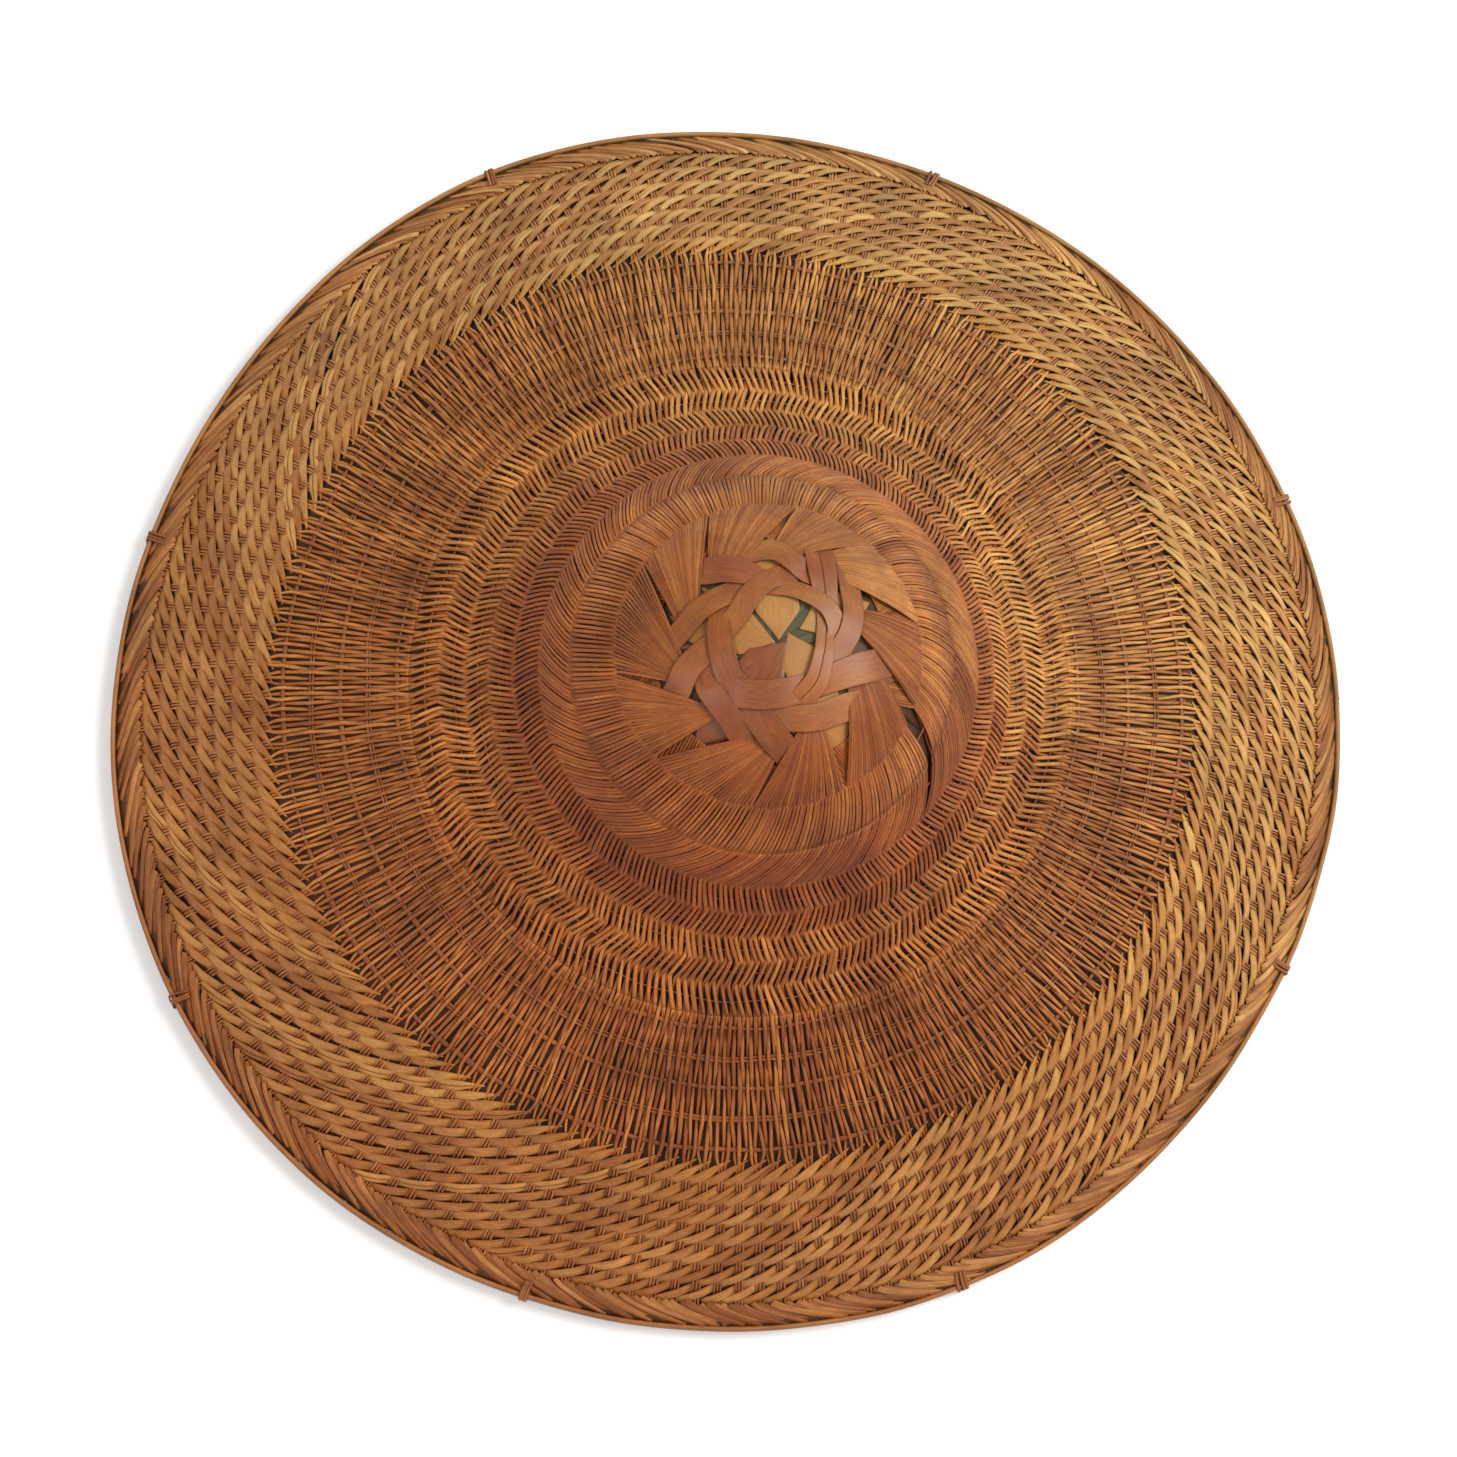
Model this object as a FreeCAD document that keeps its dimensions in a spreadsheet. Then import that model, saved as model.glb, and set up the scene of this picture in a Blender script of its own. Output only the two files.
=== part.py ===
import FreeCAD, Part
import math
import os
import Sketcher

# A conical woven sun hat in rattan and bamboo: a plaited crown, a domed and flared body of
# fine strands, a flat-splint brim with a braided edge, a leaf lining on a light bamboo frame,
# two lashed rim hoops and a head ring. Millimetres, +Z up, origin on the axis at the base.

os.makedirs("parts", exist_ok=True)
doc = FreeCAD.newDocument("conical_hat")

SIZES = {
    # the reference surface, midway through the weave, from the apex outwards
    "crown_height": 155,
    "dome_radius": 94,
    "side_slope": 48,
    "flare_radius": 55,
    "flare_centre": 140,
    "brim_slope": 24,
    "droop_radius": 150,
    "droop_centre": 119,
    "edge_slope": 35,
    # where each woven zone starts and ends, as radii from the axis
    "strand_start": 50,
    "strand_end": 185.7,
    "brim_start": 186,
    "weft_end": 238,
    "braid_start": 238.3,
    "braid_end": 244,
    "stake_end": 243,
    "lining_end": 246,
    # layers, as distances from the reference surface (outwards is positive)
    "strand_gap": 0.5,
    "strand_thick": 0.8,
    "ring_weft_radius": 0.45,
    "stake_top": -0.35,
    "weft_bottom": -0.25,
    "weft_top": 1.0,
    "braid_top": 1.4,
    "lining_top": -1.6,
    "lining_thick": 0.8,
    "rib_top": -2.5,
    "rib_thick": 2,
    "rib_start": 14,
    "rib_end": 238.5,
    "rib_angle": 2.2,
    "frame_ring_radius": 1.25,
    "frame_ring_depth": 5.85,
    # crown splints
    "splint_width": 9,
    "splint_thick": 0.4,
    "splint_step": 0.6,
    "gusset_depth": 1.25,
    "gusset_thick": 0.3,
    "gusset_inner": 2.5,
    "gusset_outer": 43,
    "gusset_width": 16,
    "gusset_tip": 0.2,
    # rim
    "hoop_outer": 250,
    "outer_hoop_thick": 2.8,
    "outer_hoop_tall": 9,
    "inner_hoop_outer": 244.2,
    "inner_hoop_thick": 3.2,
    "inner_hoop_bottom": 0.3,
    "inner_hoop_tall": 4.6,
    "lashing_wide": 4,
    "lashing_thick": 0.8,
    "lashing_inner": 239.6,
    "lashing_outer": 251.1,
    "lashing_bottom": 0.1,
    "lashing_top": 10,
    "lashing_bend": 246.6,
    "lashing_peak": 15.6,
    "lashing_notch": 1.2,
    "lashing_play": 0.3,
    # head ring
    "head_radius": 88,
    "head_ring_thick": 2.2,
    "head_ring_bottom": 48,
    "head_ring_tall": 32,
    "tie_relief": 1.1,
    "tie_relief_bottom": 66,
    "tie_slot_height": 70,
    "tie_slot_tall": 4,
    "tie_wide": 3,
    "tie_thick": 0.8,
    "tie_play": 0.3,
    "tie_gap": 0.15,
    "tie_drop": 1.2,
    "tie_phase": 22.5,
    "cut_past": 1,
}
# heights of the centres of the outline's arcs, worked out in the sheet
FORMULAS = {
    "dome_height": "=crown_height - dome_radius",
    "flare_height": "=dome_height + (dome_radius + flare_radius) / cos(side_slope * 1deg)"
    " - flare_centre * tan(side_slope * 1deg)",
    "droop_height": "=flare_height - (flare_radius + droop_radius) / cos(brim_slope * 1deg)"
    " + (flare_centre - droop_centre) * tan(brim_slope * 1deg)",
}
LASHINGS_AT = (22.5, 70, 114, 163.5, 208, 250.5, 292, 336)
RIBS = 8
TIES = 4
FOLDS = 5
GUSSET_TURN = 20
RING_WEFTS = (65, 78, 89, 97.5, 105.5, 114, 124, 134.5, 145.5, 156.5, 168, 179.5)
FRAME_RINGS = (52, 96, 140, 195)

sheet = doc.addObject("Spreadsheet::Sheet", "Sizes")
for row, (name, content) in enumerate({**SIZES, **FORMULAS}.items(), start=1):
    sheet.set(f"A{row}", name)
    sheet.set(f"B{row}", str(content))
    sheet.setAlias(f"B{row}", name)
doc.recompute()


def value(text):
    """What an expression of the sheet's names comes to."""
    found = sheet.evalExpression(text)
    return float(getattr(found, "Value", found))


def size(name):
    return value(f"Sizes.{name}")


def sin(degrees):
    return math.sin(math.radians(degrees))


def cos(degrees):
    return math.cos(math.radians(degrees))


# ---------------------------------------------------------------- the hat's outline

# each arc's name, its centre's radius, whether it bulges outwards, and the slope it ends at
ARCS = (
    ("dome", "0", "+", "side_slope"),
    ("flare", "Sizes.flare_centre", "-", "brim_slope"),
    ("droop", "Sizes.droop_centre", "+", "edge_slope"),
)


def outline(offset):
    """The pieces of the outline at this distance from the reference surface, from the apex
    outwards. Each arc is followed by the straight run that leaves it."""
    pieces = []
    for name, centre, sign, slope in ARCS:
        arc = {
            "straight": False,
            "name": name,
            "centre": centre,
            "height": f"Sizes.{name}_height",
            "radius": f"(Sizes.{name}_radius {sign} ({offset}))",
            "sign": sign,
            "slope": f"(Sizes.{slope} * 1 deg)",
        }
        pieces += [arc, {**arc, "straight": True}]
    for piece, after in zip(pieces, pieces[1:] + [None]):
        arc = after if piece["straight"] else piece
        piece["to"] = math.inf
        if arc:
            reach = f"{arc['centre']} {arc['sign']} {arc['radius']} * sin{piece['slope']}"
            piece["to"] = value(reach)
    return pieces


def rise(piece, x):
    """Height of one piece of the outline at radius x, as an expression."""
    start = f"{piece['height']} {piece['sign']}"
    if piece["straight"]:
        fall = f"(({x}) - {piece['centre']}) * tan{piece['slope']}"
        return f"{start} {piece['radius']} / cos{piece['slope']} - {fall}"
    return f"{start} sqrt({piece['radius']} ^ 2 - (({x}) - {piece['centre']}) ^ 2)"


def piece_at(x, offset="0"):
    return next(piece for piece in outline(offset) if x <= piece["to"])


def height(x):
    """Height of the reference surface at radius x."""
    return value(rise(piece_at(x), x))


def slope(x):
    """Slope of the reference surface at radius x, in degrees."""
    piece = piece_at(x)
    if piece["straight"]:
        return value(piece["slope"])
    return math.degrees(math.asin(abs(x - value(piece["centre"])) / value(piece["radius"])))


# ---------------------------------------------------------------- sketch helpers


def turned_by(azimuth):
    return FreeCAD.Placement(
        FreeCAD.Vector(0, 0, 0), FreeCAD.Rotation(FreeCAD.Vector(0, 0, 1), azimuth)
    )


def new_body(label):
    body = doc.addObject("PartDesign::Body", label)
    body.Label = label
    return body


def new_sketch(body, name, plane):
    sketch = body.newObject("Sketcher::SketchObject", name)
    origin_plane = next(o for o in body.Origin.OriginFeatures if o.Role == plane)
    sketch.AttachmentSupport = [(origin_plane, "")]
    sketch.MapMode = "FlatFace"
    return sketch


def vector(point):
    return FreeCAD.Vector(point[0], point[1], 0)


def dimension(sketch, kind, *where, text, unit="mm"):
    """Adds a dimension and ties it to the sheet by an expression."""
    amount = value(text)
    if unit == "deg":
        amount = math.radians(amount)
    number = sketch.addConstraint(Sketcher.Constraint(kind, *where, amount))
    sketch.setExpression(f"Constraints[{number}]", f"({text}) * 1 {unit}")


def from_origin(sketch, point, across=None, up=None):
    """Dimensions a point from the sketch's origin."""
    if across:
        dimension(sketch, "DistanceX", -1, 1, *point, text=across)
    if up:
        dimension(sketch, "DistanceY", -1, 1, *point, text=up)


def draw_outline(sketch, offset, start, end):
    """Draws one offset outline between two radii, and returns its first and last point."""
    first = last = None
    x, x_last = value(start), value(end)
    for piece in outline(offset):
        if piece["to"] <= value(start):
            continue
        stops = (x, min(piece["to"], x_last))
        middle = sum(stops) / 2
        a, b, c = (vector((at, value(rise(piece, at)))) for at in (*stops, middle))
        shape = Part.LineSegment(a, b) if piece["straight"] else Part.Arc(a, c, b)
        index = sketch.addGeometry(shape, False)
        # an arc drawn clockwise is stored anticlockwise, so its ends are swapped
        swapped = not piece["straight"] and piece["sign"] == "+"
        near, far = (2, 1) if swapped else (1, 2)
        if last:
            sketch.addConstraint(Sketcher.Constraint("Tangent", *last, index, near))
        else:
            first = (index, near)
        if piece["straight"]:
            fall = piece["slope"].replace(" * 1 deg", "")
            dimension(sketch, "Angle", index, text=f"-{fall}", unit="deg")
            if not last:
                from_origin(sketch, first, up=rise(piece, start))
        else:
            dimension(sketch, "Radius", index, text=piece["radius"])
            if piece["name"] == "dome":
                sketch.addConstraint(Sketcher.Constraint("PointOnObject", index, 3, -2))
                from_origin(sketch, (index, 3), up=piece["height"])
            else:
                from_origin(sketch, (index, 3), across=piece["centre"])
                if not last:
                    from_origin(sketch, (index, 3), up=piece["height"])
        last = (index, far)
        x = stops[1]
        if x >= x_last:
            break
    if value(start) > 0:
        from_origin(sketch, first, across=start)
    else:
        sketch.addConstraint(Sketcher.Constraint("PointOnObject", *first, -2))
    from_origin(sketch, last, across=end)
    return first, last


def close(sketch, a, b):
    """A straight run between two drawn points."""
    start = sketch.getPoint(*a)
    end = sketch.getPoint(*b)
    index = sketch.addGeometry(Part.LineSegment(start, end), False)
    sketch.addConstraint(Sketcher.Constraint("Coincident", index, 1, *a))
    sketch.addConstraint(Sketcher.Constraint("Coincident", index, 2, *b))


def revolve(body, sketch, angle=None):
    turned = body.newObject("PartDesign::Revolution", body.Label + "_turned")
    turned.Profile = sketch
    turned.ReferenceAxis = (sketch, ["V_Axis"])
    if angle:
        turned.Midplane = True
        turned.setExpression("Angle", angle)
    else:
        turned.Angle = 360
    sketch.Visibility = False
    return turned


def layer(label, start, end, top, bottom, angle=None):
    """A curved sheet between two radii and two distances from the reference surface."""
    body = new_body(label)
    sketch = new_sketch(body, label + "_outline", "XZ_Plane")
    inner_top, outer_top = draw_outline(sketch, top, start, end)
    inner_low, outer_low = draw_outline(sketch, bottom, start, end)
    close(sketch, inner_top, inner_low)
    close(sketch, outer_top, outer_low)
    revolve(body, sketch, angle)
    return body


def rectangle(sketch, low, high):
    """A rectangle from its low to its high corner, each given as two expressions."""
    (x0, y0), (x1, y1) = [(value(x), value(y)) for x, y in (low, high)]
    corners = [(x0, y0), (x1, y0), (x1, y1), (x0, y1)]
    sides = [
        sketch.addGeometry(Part.LineSegment(vector(a), vector(b)), False)
        for a, b in zip(corners, corners[1:] + corners[:1])
    ]
    for a, b in zip(sides, sides[1:] + sides[:1]):
        sketch.addConstraint(Sketcher.Constraint("Coincident", a, 2, b, 1))
    for number, side in enumerate(sides):
        sketch.addConstraint(Sketcher.Constraint("Vertical" if number % 2 else "Horizontal", side))
    from_origin(sketch, (sides[0], 1), *low)
    from_origin(sketch, (sides[1], 2), *high)


def pockets(body, label, low, high, azimuths, depth=None):
    """Cuts the same rectangular hole, drawn from above, at each azimuth: right through, or
    upwards from the base to a depth."""
    for number, azimuth in enumerate(azimuths, start=1):
        sketch = new_sketch(body, f"{label}_sketch_{number}", "XY_Plane")
        sketch.AttachmentOffset = turned_by(azimuth)
        rectangle(sketch, low, high)
        hole = body.newObject("PartDesign::Pocket", f"{label}_{number}")
        hole.Profile = sketch
        if depth:
            hole.setExpression("Length", f"{depth} * 1 mm")
            hole.Reversed = True
        else:
            hole.Type = 1
            hole.Midplane = True
        sketch.Visibility = False
        body.Tip = hole


# ---------------------------------------------------------------- crown


def on_dome(radius, azimuth, offset):
    """A point of the dome and its outward direction there."""
    ball = size("dome_radius")
    up = math.sqrt(ball**2 - radius**2)
    normal = FreeCAD.Vector(radius * cos(azimuth), radius * sin(azimuth), up) / ball
    centre = FreeCAD.Vector(0, 0, size("dome_height"))
    return centre + normal * (ball + offset), normal


def strip(route, width, thick, tip=1):
    """A flat strip that follows the dome through points of (radius, azimuth, offset). It
    widens from this share of its width at its first end, over a third of its length."""
    flat = [FreeCAD.Vector(r * cos(a), r * sin(a), h) for r, a, h in route]
    curve = Part.BSplineCurve()
    curve.interpolate(flat)
    count = 4 * (len(route) - 1) + 1
    first, last = curve.FirstParameter, curve.LastParameter
    sections = []
    for number in range(count):
        share = number / (count - 1)
        at = curve.value(first + (last - first) * share)
        radius, azimuth = math.hypot(at.x, at.y), math.degrees(math.atan2(at.y, at.x))
        point, normal = on_dome(radius, azimuth, at.z)
        along = FreeCAD.Vector(*curve.tangent(first + (last - first) * share)[0])
        along.z = 0
        across = normal.cross(along).normalize()
        half = width / 2 * (tip + (1 - tip) * min(1, share * 3))
        corners = [
            point + across * half * side + normal * (thick / 2 * up)
            for side, up in ((-1, -1), (1, -1), (1, 1), (-1, 1))
        ]
        sections.append(Part.makePolygon(corners + corners[:1]))
    return Part.makeLoft(sections, True, False)


def add_feature(label, shape, turn=0):
    feature = doc.addObject("Part::Feature", label)
    feature.Label = label
    feature.Shape = shape
    feature.Placement = turned_by(turn)
    return feature


def copies_around(shape, azimuths):
    """One shape, repeated around the axis."""
    copies = []
    for azimuth in azimuths:
        copy = shape.copy()
        copy.rotate(FreeCAD.Vector(0, 0, 0), FreeCAD.Vector(0, 0, 1), azimuth)
        copies.append(copy)
    return Part.makeCompound(copies)


def crown():
    """Ten plaited splints in two sets of five, with five filler splints beneath them."""
    step = size("splint_step")
    outer_route = [
        (39, 88, 0), (37, 77, 0), (35, 64, 0), (36.5, 52, 0), (40, 43, 0), (43.5, 37, 0)
    ]
    inner_route = [
        (41, 61, step), (36, 53, step), (31, 44, step), (26, 32, 0), (21, 17, -step),
        (17.8, -20, 0), (21, -55, step), (25.5, -69.5, 0), (29.5, -78, -step), (34, -85, -step),
        (38, -90, -step),
    ]
    gusset_route = [(size("gusset_inner"), 0), (14, 0), (30, 0), (size("gusset_outer"), 0)]
    gusset_route = [(r, a, -size("gusset_depth")) for r, a in gusset_route]
    outer = strip(outer_route, size("splint_width"), size("splint_thick"))
    inner = strip(inner_route, size("splint_width"), size("splint_thick"))
    gusset = strip(gusset_route, size("gusset_width"), size("gusset_thick"), size("gusset_tip"))
    made = []
    for fold in range(FOLDS):
        turn = 360 / FOLDS * fold
        made.append(add_feature(f"crown_outer_splint_{fold + 1}", outer, turn))
        made.append(add_feature(f"crown_inner_splint_{fold + 1}", inner, turn))
        made.append(add_feature(f"crown_gusset_{fold + 1}", gusset, GUSSET_TURN + turn))
    return made


# ---------------------------------------------------------------- body weave


def strand_layers():
    near, far = "Sizes.strand_gap", "(Sizes.strand_gap + Sizes.strand_thick)"
    span = ("Sizes.strand_start", "Sizes.strand_end")
    return [
        layer("clockwise_strands", *span, far, near),
        layer("counterclockwise_strands", *span, f"-{near}", f"-{far}"),
    ]


def ring(label, radius, offset, thick):
    """A round ring that runs at this radius of the reference surface, offset from it."""
    made = doc.addObject("Part::Torus", label)
    made.Label = label
    made.Radius1 = radius + offset * sin(slope(radius))
    made.setExpression("Radius2", f"{thick} * 1 mm")
    made.Placement.Base.z = height(radius) + offset * cos(slope(radius))
    return made


def ring_wefts():
    return [
        ring(f"weft_ring_{number:02d}", radius, 0, "Sizes.ring_weft_radius")
        for number, radius in enumerate(RING_WEFTS, start=1)
    ]


def brim():
    start, low = "Sizes.brim_start", "Sizes.weft_bottom"
    far = "-(Sizes.strand_gap + Sizes.strand_thick)"
    return [
        layer("brim_stakes", start, "Sizes.stake_end", "Sizes.stake_top", far),
        layer("brim_wefts", start, "Sizes.weft_end", "Sizes.weft_top", low),
        layer("edge_braid", "Sizes.braid_start", "Sizes.braid_end", "Sizes.braid_top", low),
    ]


# ---------------------------------------------------------------- lining and frame


def lining():
    top = "Sizes.lining_top"
    return layer("leaf_lining", "0", "Sizes.lining_end", top, f"{top} - Sizes.lining_thick")


def ribs():
    made = []
    for number in range(RIBS):
        rib = layer(
            f"frame_rib_{number + 1}",
            "Sizes.rib_start",
            "Sizes.rib_end",
            "Sizes.rib_top",
            "Sizes.rib_top - Sizes.rib_thick",
            "Sizes.rib_angle * 1 deg",
        )
        rib.Placement = turned_by(360 / RIBS * number)
        made.append(rib)
    return made


def frame_rings():
    depth, thick = -size("frame_ring_depth"), "Sizes.frame_ring_radius"
    return [
        ring(f"frame_ring_{number}", radius, depth, thick)
        for number, radius in enumerate(FRAME_RINGS, start=1)
    ]


# ---------------------------------------------------------------- rim


HALF_SLOT = "(Sizes.lashing_wide / 2 + Sizes.lashing_play)"


def slot(body):
    """Lets the lashings pass down through a sheet."""
    low = ("Sizes.lashing_inner - Sizes.lashing_play", f"-{HALF_SLOT}")
    high = ("Sizes.lashing_inner + Sizes.lashing_thick + Sizes.lashing_play", HALF_SLOT)
    pockets(body, body.Label + "_slot", low, high, LASHINGS_AT)


def hoop(label, outer, thick, bottom, tall):
    """A hoop on edge, notched from below where the lashings run under it."""
    body = new_body(label)
    sketch = new_sketch(body, label + "_section", "XZ_Plane")
    rectangle(sketch, (f"{outer} - {thick}", bottom), (outer, f"{bottom} + {tall}"))
    revolve(body, sketch)
    low = ("Sizes.lashing_inner", f"-{HALF_SLOT}")
    high = ("Sizes.lashing_outer", HALF_SLOT)
    pockets(body, label + "_notch", low, high, LASHINGS_AT, "Sizes.lashing_notch")
    return body


def rim():
    return [
        hoop(
            "outer_hoop", "Sizes.hoop_outer", "Sizes.outer_hoop_thick", "0", "Sizes.outer_hoop_tall"
        ),
        hoop(
            "inner_hoop",
            "Sizes.inner_hoop_outer",
            "Sizes.inner_hoop_thick",
            "Sizes.inner_hoop_bottom",
            "Sizes.inner_hoop_tall",
        ),
    ]


def lashings():
    """Eight cane bands round both hoops, which pass down through the woven sheet."""
    thick = size("lashing_thick")
    inner, outer = size("lashing_inner"), size("lashing_outer")
    low, top = size("lashing_bottom"), size("lashing_top")
    bend, peak = size("lashing_bend"), size("lashing_peak")
    path = [(inner, low), (outer, low), (outer, top), (bend, top), (inner, peak)]
    inside = [
        (inner + thick, low + thick),
        (outer - thick, low + thick),
        (outer - thick, top - thick),
        (bend - thick * 0.3, top - thick),
        (inner + thick, peak - thick * 1.8),
    ]
    faces = []
    for points in (path, inside):
        corners = [FreeCAD.Vector(x, 0, z) for x, z in points]
        faces.append(Part.Face(Part.makePolygon(corners + corners[:1])))
    half = size("lashing_wide") / 2
    band = faces[0].cut(faces[1]).extrude(FreeCAD.Vector(0, 2 * half, 0))
    band.translate(FreeCAD.Vector(0, -half, 0))
    return add_feature("hoop_lashings", copies_around(band, LASHINGS_AT))


# ---------------------------------------------------------------- head ring


def head_ring():
    body = new_body("head_ring")
    sketch = new_sketch(body, "head_ring_section", "XZ_Plane")
    bore, low = "Sizes.head_radius", "Sizes.head_ring_bottom"
    top = f"{low} + Sizes.head_ring_tall"
    rectangle(sketch, (bore, low), (f"{bore} + Sizes.head_ring_thick", top))
    revolve(body, sketch)
    relief = new_sketch(body, "tie_relief_section", "XZ_Plane")
    rectangle(
        relief,
        (f"{bore} - Sizes.cut_past", "Sizes.tie_relief_bottom"),
        (f"{bore} + Sizes.tie_relief", f"{top} + Sizes.cut_past"),
    )
    groove = body.newObject("PartDesign::Groove", "tie_relief_cut")
    groove.Profile = relief
    groove.ReferenceAxis = (relief, ["V_Axis"])
    groove.Angle = 360
    relief.Visibility = False
    slots = new_sketch(body, "tie_slot_sketch", "YZ_Plane")
    half = "(Sizes.tie_wide / 2 + Sizes.tie_play)"
    base = "Sizes.tie_slot_height"
    rectangle(slots, (f"-{half}", base), (half, f"{base} + Sizes.tie_slot_tall"))
    cut = body.newObject("PartDesign::Pocket", "tie_slot")
    cut.Profile = slots
    cut.setExpression(
        "Length", "(Sizes.head_radius + Sizes.head_ring_thick + Sizes.cut_past) * 1 mm"
    )
    cut.Reversed = True
    slots.Visibility = False
    doc.recompute()
    pattern = body.newObject("PartDesign::PolarPattern", "tie_slots_around")
    pattern.Originals = [cut]
    pattern.Axis = (slots, ["V_Axis"])
    pattern.Angle = 360
    pattern.Occurrences = TIES
    body.Tip = pattern
    body.Placement = turned_by(size("tie_phase"))
    return body


def head_ring_ties():
    """Four loops that hang the head ring from the frame ring above it."""
    thick, half, gap = size("tie_thick"), size("tie_wide") / 2, size("tie_gap")
    hung = doc.getObject("frame_ring_2")
    middle = hung.Radius1.Value
    top = hung.Placement.Base.z + size("frame_ring_radius") + gap
    low = size("tie_slot_height") + size("tie_drop")
    reach = size("frame_ring_radius") + gap
    inner = min(middle - reach, size("head_radius") + size("tie_relief") - gap)
    outer = max(middle + reach, size("head_radius") + size("head_ring_thick") + gap)
    hole = Part.makeBox(outer - inner, 4 * half, top - low, FreeCAD.Vector(inner, -2 * half, low))
    loop = Part.makeBox(
        outer - inner + 2 * thick,
        2 * half,
        top - low + 2 * thick,
        FreeCAD.Vector(inner - thick, -half, low - thick),
    ).cut(hole)
    around = [360 / TIES * number for number in range(TIES)]
    return add_feature("head_ring_ties", copies_around(loop, around), size("tie_phase"))


# ---------------------------------------------------------------- build and export

nodes = crown() + strand_layers() + ring_wefts()
stakes, wefts, braid = brim()
leaf = lining()
for sheet_body in (stakes, braid, leaf):
    slot(sheet_body)
nodes += [stakes, wefts, braid, leaf] + ribs() + frame_rings() + rim()
doc.recompute()
nodes += [lashings(), head_ring(), head_ring_ties()]
doc.recompute()

for item in doc.Objects:
    bad = [state for state in item.State if state in ("Invalid", "Error")]
    if bad:
        raise RuntimeError(f"{item.Label} is {bad}")
for node in nodes:
    if node.Shape.isNull() or not node.Shape.isValid():
        raise RuntimeError(f"{node.Label} has no valid shape")
for node in nodes:
    node.Shape.exportStep(f"parts/{node.Label}.step")
    box = node.Shape.BoundBox
    print(
        f"{node.Label:28s} solids {len(node.Shape.Solids):2d} volume {node.Shape.Volume:10.1f}"
        f" z {box.ZMin:7.2f} to {box.ZMax:7.2f} x {box.XMin:8.2f} to {box.XMax:8.2f}"
    )
print(len(nodes), "nodes")
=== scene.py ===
import math

import bpy
import numpy as np
from mathutils import Matrix, Vector


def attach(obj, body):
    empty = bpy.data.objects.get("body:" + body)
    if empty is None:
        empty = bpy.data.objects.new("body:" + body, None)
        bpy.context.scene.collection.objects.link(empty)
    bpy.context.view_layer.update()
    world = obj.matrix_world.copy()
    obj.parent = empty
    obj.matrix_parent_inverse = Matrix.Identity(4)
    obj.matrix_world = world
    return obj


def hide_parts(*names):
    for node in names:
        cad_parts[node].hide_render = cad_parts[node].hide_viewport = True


# A conical woven hat, strand by strand. Lengths are millimetres and angles are degrees. A
# point of the hat is its radius, its azimuth and its height off a reference surface, and
# place() turns that into metres.

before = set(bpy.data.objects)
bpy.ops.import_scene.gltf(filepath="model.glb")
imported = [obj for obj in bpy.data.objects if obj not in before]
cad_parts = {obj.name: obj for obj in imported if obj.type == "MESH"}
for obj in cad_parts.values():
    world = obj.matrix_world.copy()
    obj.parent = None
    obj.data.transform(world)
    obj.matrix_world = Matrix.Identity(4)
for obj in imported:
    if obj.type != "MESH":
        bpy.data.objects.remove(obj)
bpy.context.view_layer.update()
rng = np.random.default_rng(11)

# ---------------------------------------------------------------- the hat's outline

TALL = 155.0
DOME_RADIUS = 94
SIDE_SLOPE = 48
FLARE_RADIUS, FLARE_CENTRE = 55, 140
BRIM_SLOPE = 24
DROOP_RADIUS, DROOP_CENTRE = 150, 119
EDGE_SLOPE = 35
# the radii where the dome, the side, the flare, the brim and the droop end
ENDS = (69.9, 99.1, 117.6, 180, 205)
GRID = np.linspace(0, 262, 5241)
STEP = GRID[1] - GRID[0]


def slope_of(r):
    """Slope of the reference surface in degrees."""
    dome = np.degrees(np.arcsin(np.minimum(r / DOME_RADIUS, 0.9)))
    flare = np.degrees(np.arcsin(np.clip((FLARE_CENTRE - r) / FLARE_RADIUS, 0, 1)))
    droop = np.degrees(np.arcsin(np.clip((r - DROOP_CENTRE) / DROOP_RADIUS, 0, 1)))
    slopes = [dome, SIDE_SLOPE, flare, BRIM_SLOPE, droop]
    return np.select([r < end for end in ENDS], slopes, EDGE_SLOPE)


SLOPES = np.radians(slope_of(GRID))
DROP = np.concatenate([[0], np.cumsum(np.tan(SLOPES[:-1]) * STEP)])
RUN = np.concatenate([[0], np.cumsum(STEP / np.cos(SLOPES[:-1]))])

# how far the rings of the weave sit off the axis, by radius
LEAN_AT = (0, 58, 73, 84, 93, 101, 110, 119, 130, 145, 184, 215, 244, 249, 262)
LEAN_BY = (2.9, 2.9, 2.0, 2.0, 1.2, 0.2, -0.5, -1.6, -2.0, -2.4, -1.8, 0, 0.8, 0, 0)
# the weave is a little denser on one side of the hat: the most degrees that it shifts, the
# azimuth with no shift, the radius where the shift starts and the length over which it grows
DENSER_BY, DENSER_AZIMUTH, DENSER_FROM, DENSER_OVER = 3.0, 60, 60, 120
# waves of the rim, as (waves round the hat, size, phase in radians), and the radius where
# the rim starts to follow them and the length over which they grow
RIM_WAVES = ((2, 1.8, -0.99), (3, 1.2, 0.7), (4, 1.2, -1.36), (6, 0.5, 0.49))
RIM_WAVES_FROM, RIM_WAVES_OVER = 170, 80


def run_to_radius(run):
    """The radius that lies a given way down the slope from the apex."""
    return np.interp(run, RUN, GRID)


def wobble(a, seed, low, high):
    """A smooth random wave round the hat, about one unit high."""
    pick = np.random.default_rng(seed)
    total = 0
    for k in range(low, high):
        total = total + pick.normal() / k**0.5 * np.sin(np.radians(a) * k + pick.uniform(0, 6.3))
    return total


def rim_wave(a):
    """How far the rim leaves a true circle."""
    return sum(size * np.cos(k * np.radians(a) + phase) for k, size, phase in RIM_WAVES)


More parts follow.
